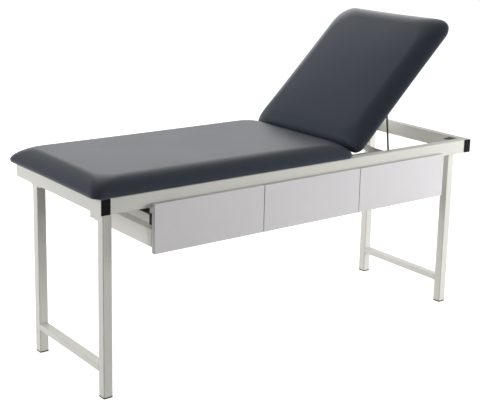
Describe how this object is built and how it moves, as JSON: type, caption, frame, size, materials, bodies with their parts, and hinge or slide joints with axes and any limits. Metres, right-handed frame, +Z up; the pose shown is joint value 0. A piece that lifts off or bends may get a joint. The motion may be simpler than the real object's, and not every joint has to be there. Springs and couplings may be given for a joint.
{
  "type": "spa bed with cabinet base",
  "caption": "Two-section upholstered treatment couch on a steel tube frame, with a propped tilting backrest and drawers under the frame.",
  "frame": {"origin": "on the floor under the middle of the couch's outline, with the backrest raised", "axes": "+X from the foot end to the head end, +Y from the drawer side to the rear, +Z up"},
  "size_m": [1.935, 0.701, 1.3282],
  "materials": {
    "frame_paint": "off-white powder coat, satin",
    "black_plastic": "moulded, fine grain",
    "bright_steel": "zinc plated",
    "dark_steel": "dark grey powder coat",
    "vinyl": "blue-black vinyl-coated upholstery fabric over foam, fine leather grain",
    "plywood": "raw birch plywood",
    "laminate": "pale grey melamine faced board",
    "white_board": "white melamine faced board"
  },
  "bodies": {
    "frame": {"front_rail": "frame_paint", "rear_rail": "frame_paint", "foot_end_rail": "frame_paint", "head_end_rail": "frame_paint", "rail_end_plugs": "black_plastic", "foot_cross_rail": "frame_paint", "middle_cross_rail": "frame_paint", "hinge_cross_rail": "frame_paint", "foot_front_leg": "frame_paint", "foot_rear_leg": "frame_paint", "head_front_leg": "frame_paint", "head_rear_leg": "frame_paint", "rail_seats": "frame_paint", "foot_stretcher": "frame_paint", "head_stretcher": "frame_paint", "floor_glides": "black_plastic", "leg_top_plugs": "black_plastic", "leg_bolts": "bright_steel", "hinge_lugs": "frame_paint", "front_rack_plate": "frame_paint", "rear_rack_plate": "frame_paint", "foot_board": "plywood", "foot_cushion": "vinyl", "drawer_carriers_1": "frame_paint", "drawer_carriers_2": "frame_paint", "drawer_carriers_3": "frame_paint", "cabinet_back_panel": "frame_paint", "front_straps": "frame_paint", "rear_hangers": "frame_paint", "closing_buffers": "black_plastic", "runner_rails_1": "bright_steel", "runner_rails_2": "bright_steel", "runner_rails_3": "bright_steel"},
    "backrest": {"backrest_cushion": "vinyl", "backrest_board": "plywood", "hinge_arms": "dark_steel", "hinge_pins": "bright_steel", "prop_brackets": "dark_steel"},
    "prop": {"prop_front_arm": "dark_steel", "prop_rear_arm": "dark_steel", "prop_pivot_bar": "dark_steel", "prop_foot_bar": "dark_steel"},
    "drawer_1": {"drawer_front_1": "laminate", "drawer_sides_1": "white_board", "drawer_base_1": "white_board", "drawer_back_1": "white_board", "drawer_slides_1": "bright_steel"},
    "runner_middle_1": {"runner_middles_1": "bright_steel"},
    "drawer_2": {"drawer_front_2": "laminate", "drawer_sides_2": "white_board", "drawer_base_2": "white_board", "drawer_back_2": "white_board", "drawer_slides_2": "bright_steel"},
    "runner_middle_2": {"runner_middles_2": "bright_steel"},
    "drawer_3": {"drawer_front_3": "laminate", "drawer_sides_3": "white_board", "drawer_base_3": "white_board", "drawer_back_3": "white_board", "drawer_slides_3": "bright_steel"},
    "runner_middle_3": {"runner_middles_3": "bright_steel"}
  },
  "joints": [
    {"name": "backrest_tilt", "type": "hinge", "parent": "frame", "child": "backrest", "pos_m": [0.2605, 0.0015, 0.796], "axis": [0, -1, 0], "range_deg": [-44, 0]},
    {"name": "prop_turn", "type": "hinge", "parent": "backrest", "child": "prop", "pos_m": [0.48216, 0.0015, 0.9753], "axis": [0, -1, 0], "range_deg": [0, 127.27]},
    {"name": "drawer_slide_1", "type": "slide", "parent": "frame", "child": "drawer_1", "axis": [0, -1, 0], "range_m": [0, 0.4]},
    {"name": "runner_slide_1", "type": "slide", "parent": "frame", "child": "runner_middle_1", "axis": [0, -1, 0], "range_m": [0, 0.2]},
    {"name": "drawer_slide_2", "type": "slide", "parent": "frame", "child": "drawer_2", "axis": [0, -1, 0], "range_m": [0, 0.4]},
    {"name": "runner_slide_2", "type": "slide", "parent": "frame", "child": "runner_middle_2", "axis": [0, -1, 0], "range_m": [0, 0.2]},
    {"name": "drawer_slide_3", "type": "slide", "parent": "frame", "child": "drawer_3", "axis": [0, -1, 0], "range_m": [0, 0.4]},
    {"name": "runner_slide_3", "type": "slide", "parent": "frame", "child": "runner_middle_3", "axis": [0, -1, 0], "range_m": [0, 0.2]}
  ],
  "couplings": [
    {"joint": "prop_turn", "follows": "backrest_tilt", "ratio": -2.8925},
    {"joint": "runner_slide_1", "follows": "drawer_slide_1", "ratio": 0.5},
    {"joint": "runner_slide_2", "follows": "drawer_slide_2", "ratio": 0.5},
    {"joint": "runner_slide_3", "follows": "drawer_slide_3", "ratio": 0.5}
  ]
}
